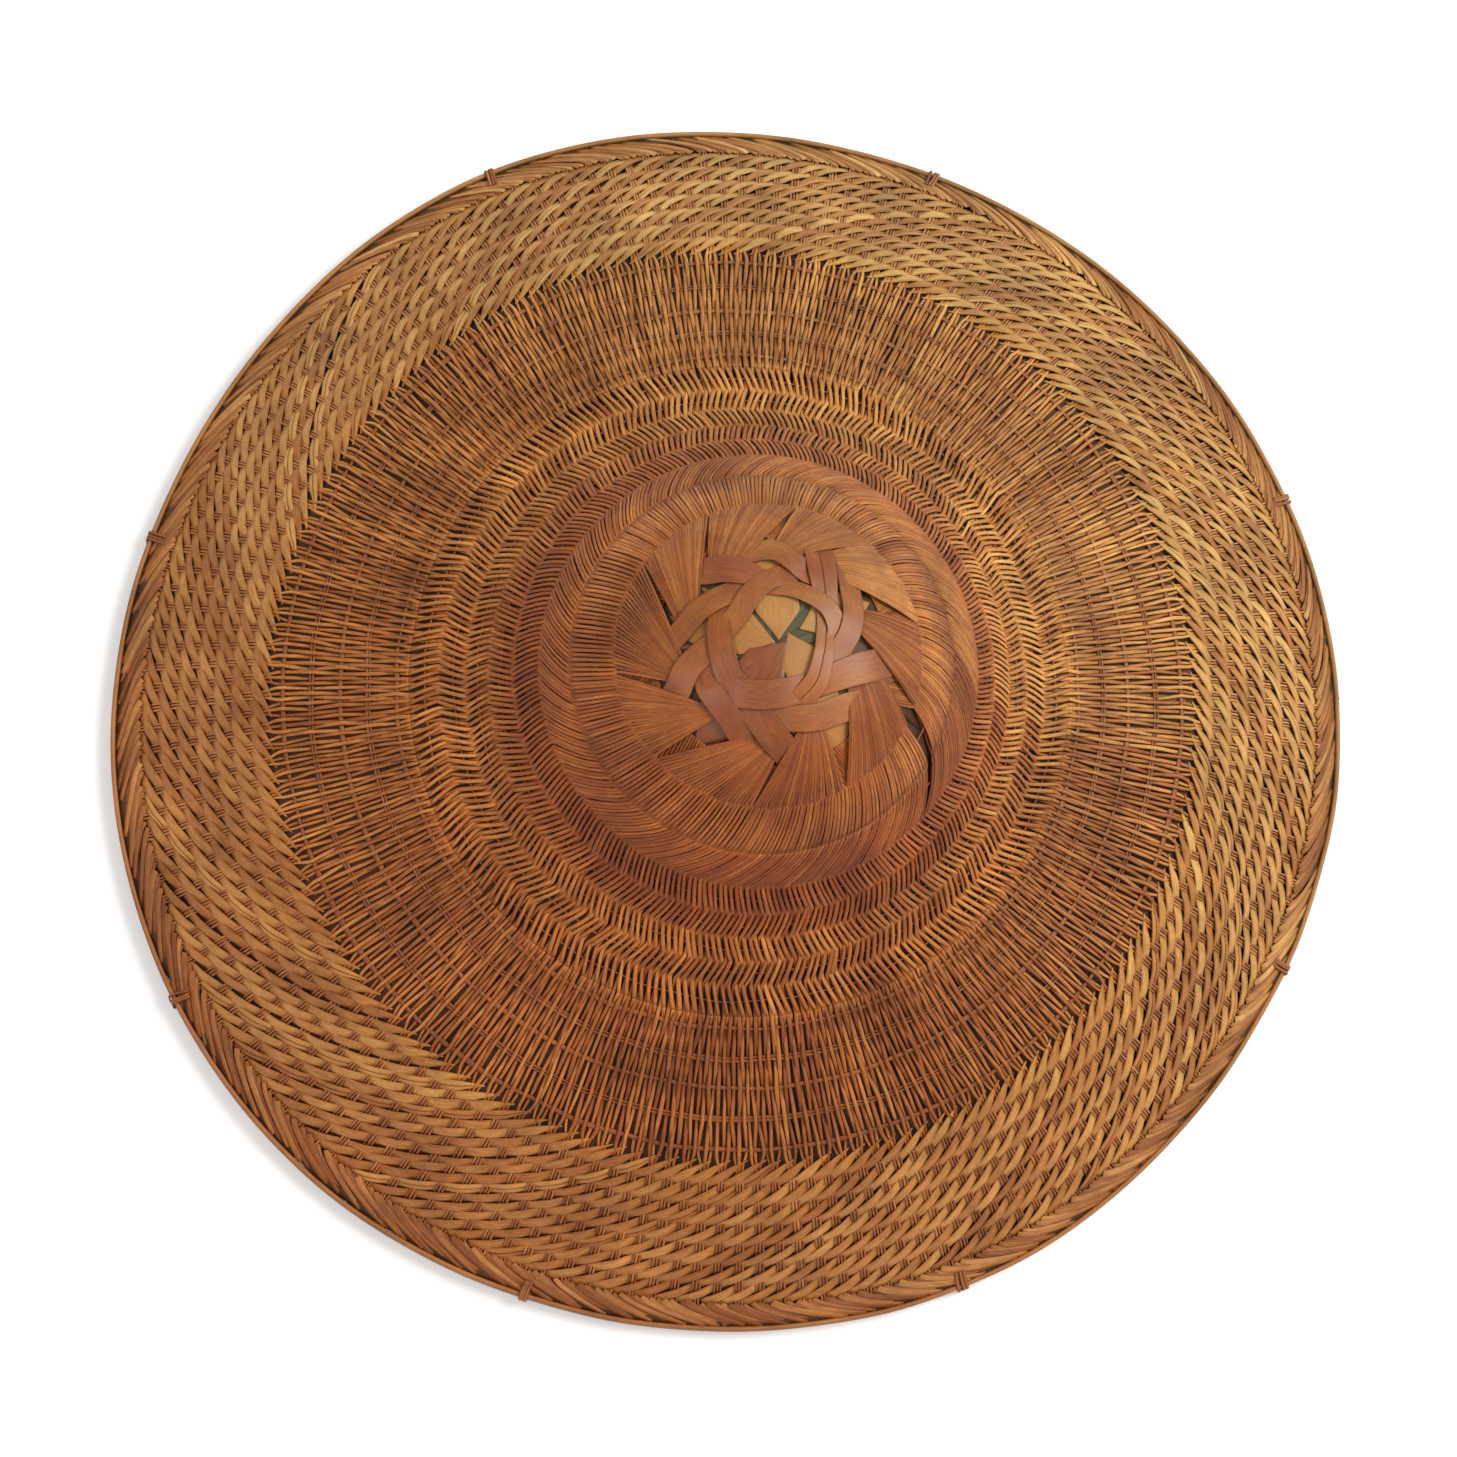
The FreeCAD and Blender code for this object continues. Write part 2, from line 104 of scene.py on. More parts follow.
def place(r, a, h=0.0):
    """Points in metres, with the hat's slight lean and its uneven rim, and outward normals."""
    r, a, h = np.broadcast_arrays(r, a, h)
    tilt = np.interp(r, GRID, SLOPES)
    denser = np.clip((r - DENSER_FROM) / DENSER_OVER, 0, 1)
    a = a - DENSER_BY * np.sin(np.radians(a - DENSER_AZIMUTH)) * denser
    wavy = np.clip((r - RIM_WAVES_FROM) / RIM_WAVES_OVER, 0, 1)
    across = r + h * np.sin(tilt) + rim_wave(a) * wavy * wavy
    t = np.radians(a)
    x = across * np.cos(t) + np.interp(r, LEAN_AT, LEAN_BY)
    y = across * np.sin(t)
    z = TALL - np.interp(r, GRID, DROP) + h * np.cos(tilt)
    normal = np.stack([np.sin(tilt) * np.cos(t), np.sin(tilt) * np.sin(t), np.cos(tilt)], -1)
    return np.stack([x, y, z], -1) / 1000, normal


# ---------------------------------------------------------------- meshes

# cross-sections: across runs from -1 to 1, and up is a share of the thickness
ROUND = [(-1, -0.5), (-0.66, 0.3), (0, 0.5), (0.66, 0.3), (1, -0.5)]
GROOVED = [(-1, -0.5), (-0.86, 0.4), (0, 0.5), (0.86, 0.4), (1, -0.5)]
FINE = [(-1, -0.5), (-0.5, 0.4), (0.5, 0.4), (1, -0.5)]
PLUMP = [(-1, -0.5), (-0.93, 0.12), (-0.6, 0.42), (0, 0.5), (0.6, 0.42), (0.93, 0.12), (1, -0.5)]
FLAT = [(-1, -0.5), (-0.97, 0.05), (-0.7, 0.36), (0, 0.5), (0.7, 0.36), (0.97, 0.05), (1, -0.5)]
THIN = [
    (-1, -0.5), (-0.995, 0.2), (-0.97, 0.42), (-0.9, 0.47), (0, 0.5),
    (0.9, 0.47), (0.97, 0.42), (0.995, 0.2), (1, -0.5),
]
BOX = [
    (-1, -0.46), (-0.96, 0.4), (-0.7, 0.5), (0, 0.52), (0.7, 0.5),
    (0.96, 0.4), (1, -0.46), (0.7, -0.5), (-0.7, -0.5),
]


def unit(v):
    return v / np.maximum(np.linalg.norm(v, axis=-1, keepdims=True), 1e-12)


class Piece:
    """Collects ribbons and sheets, then makes them one mesh object."""

    def __init__(self):
        self.points, self.faces, self.facts, self.count = [], [], [], 0

    def grid(self, points, along, across, tint, ring=False):
        """Tubes through points[strand, station, corner]; ring joins the last station to
        the first. The facts along, across and tint are kept for the materials."""
        strands, stations, corners = points.shape[:3]
        s = np.arange(strands)[:, None, None]
        n = np.arange(stations if ring else stations - 1)[None, :, None]
        j = np.arange(corners)[None, None, :]

        def at(n, j):
            return self.count + (s * stations + n % stations) * corners + j % corners

        quads = np.stack([at(n, j), at(n, j + 1), at(n + 1, j + 1), at(n + 1, j)], -1)
        self.faces.append(quads.reshape(-1, 4))
        if not ring:
            every = np.arange(corners)
            base = self.count + np.arange(strands)[:, None] * stations * corners
            self.faces.append(base + every[::-1])
            self.faces.append(base + (stations - 1) * corners + every)
        self.points.append(points.reshape(-1, 3))
        shape = (strands, stations, corners)
        facts = [np.broadcast_to(f, shape).reshape(-1) for f in (along, across, tint)]
        self.facts.append(np.stack(facts))
        self.count += strands * stations * corners

    def ribbon(self, centre, normal, width, thick, section, shift=0.0, roll=0.0, tint=0.5,
               ring=False):
        """Ribbons along centre[strand, station], in metres; width, thick and shift are mm."""

        def per_station(value):
            return np.broadcast_to(value, centre.shape[:2])[..., None]

        if ring:
            tangent = unit(np.roll(centre, -1, 1) - np.roll(centre, 1, 1))
        else:
            tangent = unit(np.gradient(centre, axis=1))
        side = unit(np.cross(tangent, normal))
        up = np.cross(side, tangent)
        roll = np.radians(per_station(roll))
        side, up = side * np.cos(roll) + up * np.sin(roll), up * np.cos(roll) - side * np.sin(roll)
        half, deep = per_station(width) / 2000, per_station(thick) / 1000
        line = centre + side * per_station(shift) / 1000
        corners = [line + side * half * x + up * deep * y for x, y in section]
        steps = np.linalg.norm(np.diff(line, axis=1), axis=-1) * 1000
        along = np.concatenate([np.zeros((len(line), 1)), np.cumsum(steps, 1)], 1)[..., None]
        across = np.array([x for x, y in section])
        tint = np.broadcast_to(np.asarray(tint, float).reshape(-1, 1, 1), (len(line), 1, 1))
        self.grid(np.stack(corners, 2), along, across, tint, ring)

    def make(self, name, material, node):
        mesh = bpy.data.meshes.new(name)
        points = np.concatenate(self.points)
        mesh.vertices.add(len(points))
        mesh.vertices.foreach_set("co", points.reshape(-1))
        sizes = np.concatenate([np.full(len(f), f.shape[1]) for f in self.faces])
        loops = np.concatenate([f.reshape(-1) for f in self.faces])
        mesh.loops.add(len(loops))
        mesh.loops.foreach_set("vertex_index", loops)
        mesh.polygons.add(len(sizes))
        mesh.polygons.foreach_set("loop_start", np.concatenate([[0], np.cumsum(sizes)[:-1]]))
        mesh.update(calc_edges=True)
        mesh.polygons.foreach_set("use_smooth", np.full(len(sizes), True))
        for fact, values in zip(("along", "across", "tint"), np.concatenate(self.facts, 1)):
            mesh.attributes.new(fact, "FLOAT", "POINT").data.foreach_set("value", values)
        mesh.materials.append(material)
        made = bpy.data.objects.new(name, mesh)
        bpy.context.collection.objects.link(made)
        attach(made, "root")
        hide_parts(node)


# ---------------------------------------------------------------- materials


class Nodes:
    """Short names for the shader nodes that the materials use."""

    def __init__(self, name):
        self.material = bpy.data.materials.new(name)
        self.material.use_nodes = True
        self.tree = self.material.node_tree
        self.shader = self.tree.nodes["Principled BSDF"]

    def add(self, kind, **settings):
        node = self.tree.nodes.new(kind)
        for key, value in settings.items():
            setattr(node, key, value)
        return node

    def put(self, socket, value):
        if isinstance(value, bpy.types.NodeSocket):
            self.tree.links.new(value, socket)
        else:
            socket.default_value = value

    def fill(self, node, values):
        """Puts values into a node's first sockets, and gives its first output."""
        for socket, value in zip(node.inputs, values):
            self.put(socket, value)
        return node.outputs[0]

    def math(self, operation, *values):
        return self.fill(self.add("ShaderNodeMath", operation=operation), values)

    def times(self, a, b):
        return self.math("MULTIPLY", a, b)

    def fact(self, name):
        return self.add("ShaderNodeAttribute", attribute_name=name).outputs["Fac"]

    def vector(self, x, y, z):
        return self.fill(self.add("ShaderNodeCombineXYZ"), (x, y, z))

    def noise(self, vector, scale, detail, roughness):
        node = self.add("ShaderNodeTexNoise")
        self.put(node.inputs["Vector"], vector)
        self.put(node.inputs["Scale"], scale)
        self.put(node.inputs["Detail"], detail)
        self.put(node.inputs["Roughness"], roughness)
        return node.outputs["Fac"]

    def spread(self, value, low, high, to_low=0.0, to_high=1.0):
        return self.fill(self.add("ShaderNodeMapRange"), (value, low, high, to_low, to_high))

    def mix(self, share, a, b, blend="MIX"):
        node = self.add("ShaderNodeMix", data_type="RGBA", blend_type=blend)
        self.put(node.inputs["Factor"], share)
        for socket, colour in ((node.inputs[6], a), (node.inputs[7], b)):
            self.put(socket, colour if isinstance(colour, bpy.types.NodeSocket) else (*colour, 1))
        return node.outputs[2]

    def tinted(self, colour, by):
        return self.mix(1.0, colour, by, "MULTIPLY")

    def ramp(self, value, stops):
        node = self.add("ShaderNodeValToRGB")
        ramp = node.color_ramp
        while len(ramp.elements) < len(stops):
            ramp.elements.new(0.5)
        for element, (at, colour) in zip(ramp.elements, stops):
            element.position = at
            element.color = (*colour, 1)
        self.put(node.inputs[0], value)
        return node.outputs[0]


def rgb(red, green, blue):
    """A colour from its 0-255 screen values."""
    return tuple(
        v / 12.92 if v <= 0.04045 else ((v + 0.055) / 1.055) ** 2.4
        for v in (red / 255, green / 255, blue / 255)
    )


RAMP_REACH = 250  # the radius where a material's ramp of colours ends
# tints that multiply a colour, from the redder end to the paler one
# the side tints are partly real fading and partly painted light: their paler end also paints the
# hat lighter on the side that the key lamp lights
SIDE_FADE_AND_PAINTED_LIGHT = ((0.97, 0.76, 0.56), (1.03, 1.14, 1.08))
BY_STRAND = ((0.99, 0.76, 0.52), (1.05, 1.16, 1.16))
PAINTED_EDGE_SHADE = (0.42, 0.25, 0.16)
COAT_ROUGHNESS = 0.28
SPECULAR = 0.4
BUMP_DEPTH = 0.0002


def cane(name, stops, fibre=10, contrast=0.5, tint=0.35, rough=0.5, bump=0.25, mottle=0.25,
         coat=0.0, edge=0.45, edge_from=0.55, edge_radii=None, blush=None):
    """Split cane or bamboo, with fibres that run along each strand. Stops are (radius, colour).
    Edge paints shade, darker and redder, on the strand's sides beyond edge_from of the way across,
    where neighbouring strands shade them, and does so fully only past the two edge_radii. Blush is
    a second colour in wide patches."""
    n = Nodes(name)
    along, across, own = n.fact("along"), n.fact("across"), n.fact("tint")
    spot = n.add("ShaderNodeTexCoord").outputs["Object"]
    split = n.add("ShaderNodeSeparateXYZ")
    n.put(split.inputs[0], spot)
    x, y = split.outputs[0], split.outputs[1]
    radius = n.math("SQRT", n.math("ADD", n.times(x, x), n.times(y, y)))

    colour = n.ramp(n.times(radius, 1000 / RAMP_REACH), [(r / RAMP_REACH, c) for r, c in stops])
    # the cane is tan on one side of the hat and redder on the other: partly real fading, and
    # partly painted light, as the side towards the key lamp is also painted lighter
    side = n.math("ADD", n.times(x, 0.55), n.times(y, 0.85))
    faded_and_lit = n.spread(n.math("DIVIDE", side, n.math("ADD", radius, 0.015)), -0.9, 0.9)
    colour = n.tinted(colour, n.mix(faded_and_lit, *SIDE_FADE_AND_PAINTED_LIGHT))
    colour = n.tinted(colour, n.mix(own, *BY_STRAND))

    key = n.times(own, 97.0)

    def fibres(length, width, *looks):
        """Noise that is drawn out along the strand."""
        return n.noise(n.vector(n.times(along, length), n.times(across, width), key), *looks)

    streaks = fibres(0.05, fibre / 10, 4.0, 4.0, 0.65)
    fine = fibres(0.22, fibre / 2.5, 5.0, 3.0, 0.6)
    patches = n.noise(spot, 38.0, 3.0, 0.6)
    tone = n.spread(own, 0.0, 1.0, 1 - tint, 1 + tint)
    for field, darker, lighter in (
        (streaks, contrast, contrast * 0.7),
        (fine, contrast * 0.5, contrast * 0.4),
        (patches, mottle, mottle),
    ):
        tone = n.times(tone, n.spread(field, 0.3, 0.7, 1 - darker, 1 + lighter))

    # painted shade, darker and redder, along each strand's sides where its neighbours shade it
    rim = n.spread(n.math("ABSOLUTE", across), edge_from, 1.0, 0.0, edge)
    if edge_radii:
        start, full = edge_radii
        rim = n.times(rim, n.spread(radius, start / 1000, full / 1000, 0.2, 1.0))
    colour = n.mix(rim, colour, n.tinted(colour, PAINTED_EDGE_SHADE))
    if blush:
        colour = n.mix(n.spread(n.noise(spot, 26.0, 1.0, 0.5), 0.42, 0.6), colour, blush)
    # darker tones are also redder
    shade = n.vector(tone, n.math("POWER", tone, 1.12), n.math("POWER", tone, 1.25))
    n.put(n.shader.inputs["Base Color"], n.tinted(colour, shade))

    n.put(n.shader.inputs["Roughness"], n.spread(streaks, 0.3, 0.7, rough - 0.08, rough + 0.1))
    n.shader.inputs["Specular IOR Level"].default_value = SPECULAR
    n.shader.inputs["Coat Weight"].default_value = coat
    n.shader.inputs["Coat Roughness"].default_value = COAT_ROUGHNESS
    raised = n.add("ShaderNodeBump")
    n.put(raised.inputs["Strength"], bump)
    n.put(raised.inputs["Distance"], BUMP_DEPTH)
    n.put(raised.inputs["Height"], n.math("ADD", streaks, n.times(fine, 0.6)))
    n.put(n.shader.inputs["Normal"], raised.outputs[0])
    return n.material


def plain(*colour):
    """Stops for one colour at every radius."""
    return [(0, rgb(*colour)), (RAMP_REACH, rgb(*colour))]


strand_paint = cane(
    "strand",
    [
        (0, rgb(160, 95, 46)),
        (58, rgb(162, 96, 46)),
        (66, rgb(182, 111, 56)),
        (78, rgb(166, 98, 46)),
        (88, rgb(156, 88, 42)),
        (97, rgb(174, 105, 52)),
        (106, rgb(184, 122, 64)),
        (124, rgb(190, 126, 66)),
        (137, rgb(168, 107, 56)),
        (150, rgb(172, 111, 59)),
        (185, rgb(190, 128, 68)),
    ],
    fibre=11, contrast=0.6, tint=0.3, mottle=0.3, edge=0.55, edge_radii=(48, 72),
)
stake_paint = cane(
    "brim_stake",
    [(185, rgb(184, 126, 70)), (190, rgb(170, 114, 66)), (250, rgb(170, 114, 66))],
    fibre=5, tint=0.3,
)
weft_paint = cane(
    "brim_weft",
    [(180, rgb(186, 136, 77)), (238, rgb(187, 136, 79)), (242, rgb(178, 124, 71))],
    fibre=16, contrast=0.45, tint=0.24, rough=0.48, edge=0.55,
)
braid_paint = cane(
    "edge_braid", [(238, rgb(186, 134, 80)), (246, rgb(176, 122, 72))],
    fibre=12, contrast=0.45, edge=0.5,
)
ring_paint = cane(
    "weft_ring", [(60, rgb(140, 84, 42)), (185, rgb(150, 94, 52))], fibre=5, contrast=0.3
)
splint_paint = cane(
    "crown_splint", [(0, rgb(153, 93, 45)), (60, rgb(161, 100, 50))],
    fibre=90, contrast=0.5, tint=0.2, rough=0.42, bump=0.16, mottle=0.28, coat=0.1,
    edge=0.6, edge_from=0.88, blush=rgb(140, 74, 38),
)
gusset_paint = cane(
    "gusset_splint", [(0, rgb(169, 119, 66)), (60, rgb(168, 116, 64))],
    fibre=50, contrast=0.2, tint=0.2, bump=0.1, mottle=0.16, edge=0.1,
)
leaf_paint = cane(
    "leaf_lining",
    [(0, rgb(96, 98, 80)), (26, rgb(88, 86, 66)), (40, rgb(84, 56, 34)), (250, rgb(80, 52, 32))],
    fibre=60, contrast=0.4, rough=0.75,
)
hoop_paint = cane("hoop", plain(164, 118, 74), fibre=8, contrast=0.25, tint=0.1)
bamboo_paint = cane("frame_bamboo", plain(186, 146, 92), fibre=20, contrast=0.3)
lash_paint = cane(
    "lashing", [(0, rgb(150, 100, 64)), (250, rgb(148, 96, 60))], fibre=6, contrast=0.3
)

# ---------------------------------------------------------------- body strands

COUNT = 270  # in each of the two sets
PITCH = 360 / COUNT
IN_FAN = 27  # strands in each fan of split ends
TURNS = (58.4, 73.4, 84.4, 93.3, 101.5, 109.8, 118.8, 129.9)  # where the strands turn back
CROSSED = (134.5, 145.4, 156.7, 168.5, 179.4)  # the flat rings of the radial weave
BRIM_START = 189.6
# sideways travel of the upper strands between turns; plus is anticlockwise outwards
BANDS = (8.5, -3.6, 3.6, -3.5, 3.6, -3.9, 3.7)
# how far the strands rise and dip in the bands, the radial zone and the brim, and their
# height where the brim begins
BAND_RISE, RADIAL_RISE, STAKE_RISE, BRIM_APPROACH = 0.88, 0.8, 0.7, -0.5
CROSS = 4.64  # from one crossing of the brim to the next, down the slope
GROUP = 2.0  # degrees from one group of three brim strands to the next
FIRST_RUN = float(np.interp(BRIM_START, GRID, RUN))
LAST_CROSS = 13.0
FAN_STATIONS, BAND_STATIONS = 9, 6
FAN_TUCK = 5  # how far the split ends reach in under the crown's splints
HIDDEN_START = 44  # where the lower set starts, under the fans
HIDDEN_TURN = 4.5
FIRST_AZIMUTH = 97.5  # of the first strand beyond the fans
LOOSE = 0.1  # how far strands stray, as a share of their pitch
LOOSE_COLUMNS = 14  # one for each turn and crossing

# each fan of split ends: base point at its anticlockwise side, at its clockwise side, and
# the azimuths that it spans at the first turn
FANS = [
    ((44.5, 122), (35.0, 107), 112.4, 79.6),
    ((42.6, 87), (38.0, 73), 79.2, 47.4),
    ((46.4, 58), (36.8, 46), 47, 13),
    ((37.6, 25), (34.5, 9), 12.6, -19),
    ((41.9, -11), (32.7, -29), -26, -60),
    ((36.3, -57), (33.5, -74), -60.4, -96),
    ((41.8, -88), (34.5, -103), -96.4, -137),
    ((37.0, -130), (34.7, -143), -137.4, -172),
    ((42.1, -163), (34.2, -177), -172.4, -216),
    ((38.1, -197), (33.4, -215), -216.4, -247.2),
]
FAN_TONE = np.array([0, 0.1, 0.4, -0.35, -0.3, -0.25, 0, 0.15, 0, 0.05])


def plan(r, a):
    """x and y of a point seen from above."""
    return r * np.cos(np.radians(a)), r * np.sin(np.radians(a))


def polar(x, y, near):
    """Radius and azimuth, with the azimuth kept on the same turn as near."""
    a = np.degrees(np.arctan2(y, x))
    return np.hypot(x, y), near + (a - near + 180) % 360 - 180


def square(wave):
    """A wave with flatter tops and steeper sides."""
    return np.sign(wave) * np.abs(wave) ** 0.6


def shares(count):
    """Evenly spread shares of a stretch, as a row, without its end."""
    return np.linspace(0, 1, count, endpoint=False)[None, :]


def fan_stretch(first, fan, rank):
    """The split ends from the crown's splints to the first turn: radius, azimuth, height."""
    t = shares(FAN_STATIONS)
    base_l = np.array([plan(*f[0]) for f in FANS])[fan]
    base_r = np.array([plan(*f[1]) for f in FANS])[fan]
    base = base_l + (base_r - base_l) * rank
    end = np.stack(plan(TURNS[0], first[:, 0]), -1)
    base = base + unit(base - end) * FAN_TUCK
    line = base[:, None, :] + (end - base)[:, None, :] * t[..., None]
    r, a = polar(line[..., 0], line[..., 1], first)
    lift = np.clip((t - 0.12) / 0.25, 0, 1)
    h = -0.55 + 1.5 * lift + 0.5 * (rank - 0.3) * lift * (1 - t)
    return r, a, h * np.where(t > 0.75, (1 - t) / 0.25, 1)


def hidden_stretch(first):
    """The lower strands under the fans: radius, azimuth, height."""
    t = shares(FAN_STATIONS)
    r = HIDDEN_START + (TURNS[0] - HIDDEN_START) * t
    return r, first - HIDDEN_TURN * (1 - t), -np.where(t > 0.8, (1 - t) / 0.2, 1)


def strand_set(clockwise):
    """All the strands of one set from the crown to the edge: radius, azimuth, height, and
    each strand's azimuth in the brim."""
    j = np.arange(COUNT)
    fan, rank = j // IN_FAN, (j[:, None] % IN_FAN + 0.5) / IN_FAN
    left, right = (np.array([f[side] for f in FANS])[fan][:, None] for side in (2, 3))
    # azimuth at the first turn, and where it would be if the strands were evenly spread
    first = left + (right - left) * rank
    spread_out = FIRST_AZIMUTH - (j[:, None] + 0.5) * PITCH
    if not clockwise:
        first = first - PITCH / 2
        spread_out = spread_out - PITCH / 2
    loose = rng.normal(0, LOOSE, (COUNT, LOOSE_COLUMNS)) * PITCH
    loose[:, -1] = 0

    def strayed(column, t):
        return loose[:, column : column + 1] * (1 - t) + loose[:, column + 1 : column + 2] * t

    parts = [fan_stretch(first, fan, rank) if clockwise else hidden_stretch(first)]
    # the bands between turns, where the two sets slant opposite ways
    turned = 0.0
    t = shares(BAND_STATIONS)
    for band, travel in enumerate(BANDS):
        r0, r1 = TURNS[band], TURNS[band + 1]
        turn = math.degrees(travel / ((r0 + r1) / 2))
        upper = clockwise == (travel < 0)
        if not upper:
            turn += PITCH if travel < 0 else -PITCH
        r = r0 + (r1 - r0) * t
        settle = np.clip((TURNS[2] - r) / (TURNS[2] - TURNS[0]), 0, 1)
        a = spread_out + (first - spread_out) * settle + turned + turn * t + strayed(band, t)
        rise = BAND_RISE if upper else -BAND_RISE
        parts.append((r, a, rise * np.sin(np.pi * t) ** 0.6))
        turned += turn
    last = spread_out + turned
    # the radial zone, woven over and under five flat rings
    marks = [TURNS[-1], *CROSSED, BRIM_START]
    start = 0
    for k, (r0, r1) in enumerate(zip(marks, marks[1:])):
        end = RADIAL_RISE if (k % 2 == 0) == clockwise else -RADIAL_RISE
        if k == len(CROSSED):
            end = BRIM_APPROACH
        h = start + (end - start) * (1 - np.cos(np.pi * t)) / 2
        parts.append((r0 + (r1 - r0) * t, last + strayed(len(BANDS) + k, t), h))
        start = end
    # the brim
    crossings = np.arange(0, 14.1, 0.25)[None, :]
    h = -STAKE_RISE * square(np.cos(np.pi * crossings)) + 0.02
    parts.append((run_to_radius(FIRST_RUN + crossings * CROSS), last + 0 * crossings, h))

    rows = [np.broadcast_arrays(first, r, a, h)[1:] for r, a, h in parts]
    r, a, h = (np.concatenate(columns, 1) for columns in zip(*rows))
    # soften the turns
    soft = a.copy()
    n = FAN_STATIONS
    soft[:, n + 1 : -1] = a[:, n:-2] * 0.08 + a[:, n + 1 : -1] * 0.84 + a[:, n + 2 :] * 0.08
    return r, soft, h, last


clockwise_set = strand_set(True)
counterclockwise_set = strand_set(False)
BRIM_PHASE = float(clockwise_set[3][0, 0])


STAKE_SPACING = 1.22  # between the three strands of a group
GATHER_FROM, GATHER_OVER = 181, 6


def gather(r, a, last):
    """Pulls the strands into groups of three across the brim."""
    number = np.round((last - BRIM_PHASE) / (PITCH / 2))
    trio = np.floor(number / 3)
    middle = BRIM_PHASE + (trio * 3 + 1) * PITCH / 2
    member = number - trio * 3 - 1
    stray = rng.normal(0, 0.07, last.shape)
    grouped = middle + np.degrees((member * STAKE_SPACING + stray) / r)
    share = np.clip((r - GATHER_FROM) / GATHER_OVER, 0, 1)
    share = share * share * (3 - 2 * share)
    return a + (grouped - a) * share


# the width of a strand by radius, and its thickness by radius
WIDE_AT = (30, 45, 58, 66, 73, 84, 110, 150, 180, 188, 243)
WIDE = (0.6, 0.95, 1.24, 1.38, 1.48, 1.62, 1.74, 1.72, 1.62, 1.14, 1.1)
THICK_AT, THICK = (36, 50, 62, 184, 190), (0.1, 0.16, 0.5, 0.5, 0.6)
# the pieces that a set is cut into: stations and cross-section
ZONES = {
    "inner": (slice(0, 16), GROOVED),
    "middle": (slice(15, 52), ROUND),
    "outer": (slice(51, 88), ROUND),
    "brim": (slice(87, None), FINE),
}

for tag, (r, a, h, last) in (
    ("clockwise", clockwise_set), ("counterclockwise", counterclockwise_set)
):
    fanned = tag == "clockwise"
    a = gather(r, a, last)
    tints = rng.normal(0.5, 0.2, COUNT) + (FAN_TONE.repeat(IN_FAN) if fanned else 0)
    wide = np.interp(r, WIDE_AT, WIDE) * rng.normal(1, 0.07, (COUNT, 1))
    if fanned:
        # in a fan the strands lie side by side
        spacing = np.abs(np.gradient(a, axis=0)) * np.radians(1) * r
        spacing = np.median(spacing.reshape(len(FANS), IN_FAN, -1), axis=1).repeat(IN_FAN, 0)
        snug = np.minimum(wide, np.maximum(spacing * 1.12, 0.35))
        wide[:, :FAN_STATIONS] = snug[:, :FAN_STATIONS]
    h = h + rng.normal(0, 0.06, (COUNT, 1))
    roll = rng.normal(0, 4, (COUNT, 1))
    for zone, (cut, section) in ZONES.items():
        centre, normal = place(r[:, cut], a[:, cut], h[:, cut])
        thick = np.interp(r[:, cut], THICK_AT, THICK)
        piece = Piece()
        piece.ribbon(
            centre, normal, wide[:, cut], thick, section, roll=roll, tint=np.clip(tints, 0, 1)
        )
        if zone == "brim":
            piece.make(f"brim_stakes_{tag}", stake_paint, "brim_stakes")
        else:
            piece.make(f"{tag}_strands_{zone}", strand_paint, f"{tag}_strands")

# ---------------------------------------------------------------- rings of the body

RINGS = (65, 78, 89, 97.5, 105.5, 114, 124, 134.5, 145.5, 156.5, 168, 179.5)
ROUND_AT = np.arange(0, 360, 0.75)
FLAT_RINGS_FROM = 130
ROUND_WIDTH, FLAT_WIDTH, RING_THICKNESS = 0.8, 2.1, 0.55
FLAT_HEIGHT = -0.2
DOUBLED = (9, 11)  # the rings that are made of two strands side by side
DOUBLED_AT = (-0.55, 0.6)

for number, radius in enumerate(RINGS, start=1):
    flat = radius > FLAT_RINGS_FROM
    piece = Piece()
    for offset in DOUBLED_AT if number in DOUBLED else (0.0,):
        waves = wobble(ROUND_AT, number, 3, 40) * 0.22
        centre, normal = place(radius + offset + waves, ROUND_AT, FLAT_HEIGHT if flat else 0.0)
        wide = (FLAT_WIDTH if flat else ROUND_WIDTH) / (1.75 if number in DOUBLED else 1)
        wide = wide * (1 + 0.12 * wobble(ROUND_AT, number + 50, 3, 30))
        piece.ribbon(
            centre[None], normal[None], wide[None], RING_THICKNESS, ROUND,
            tint=rng.uniform(0.3, 0.8), ring=True,
        )
    name = f"weft_ring_{number:02d}"
    piece.make(name, ring_paint, name)

# ---------------------------------------------------------------- brim wefts and edge

WEFTS = 180
WEFT_WIDTH, WEFT_THICKNESS = 4.5, 0.6
WEFT_RISE, WEFT_HEIGHT = 0.46, 0.14
WEFT_ROLL = 12
SPLIT_SHARE = 0.14  # how many of the wefts are split down the middle


def each_weft(mean, spread):
    """One random number for each weft, as a column."""
    return rng.normal(mean, spread, (WEFTS, 1))


middle = BRIM_PHASE + PITCH / 2 + np.arange(WEFTS)[:, None] * GROUP
crossings = np.concatenate([np.arange(-1.45, -0.2, 0.15), np.arange(-0.2, LAST_CROSS, 0.2)])
a = middle - crossings * GROUP + each_weft(0, 0.06) * GROUP
r = run_to_radius(FIRST_RUN + crossings * CROSS) + each_weft(0, 0.16)
h = WEFT_RISE * square(np.cos(np.pi * crossings)) + WEFT_HEIGHT
pointed = np.clip((crossings + 1.6) / 1.5, 0.05, 1)
wide = WEFT_WIDTH * each_weft(1, 0.05) * pointed
tints = np.clip(rng.normal(0.5, 0.25, WEFTS), 0, 1)
roll = each_weft(WEFT_ROLL, 2)
centre, normal = place(r, a, h)
cut = rng.uniform(0, 1, WEFTS) < SPLIT_SHARE

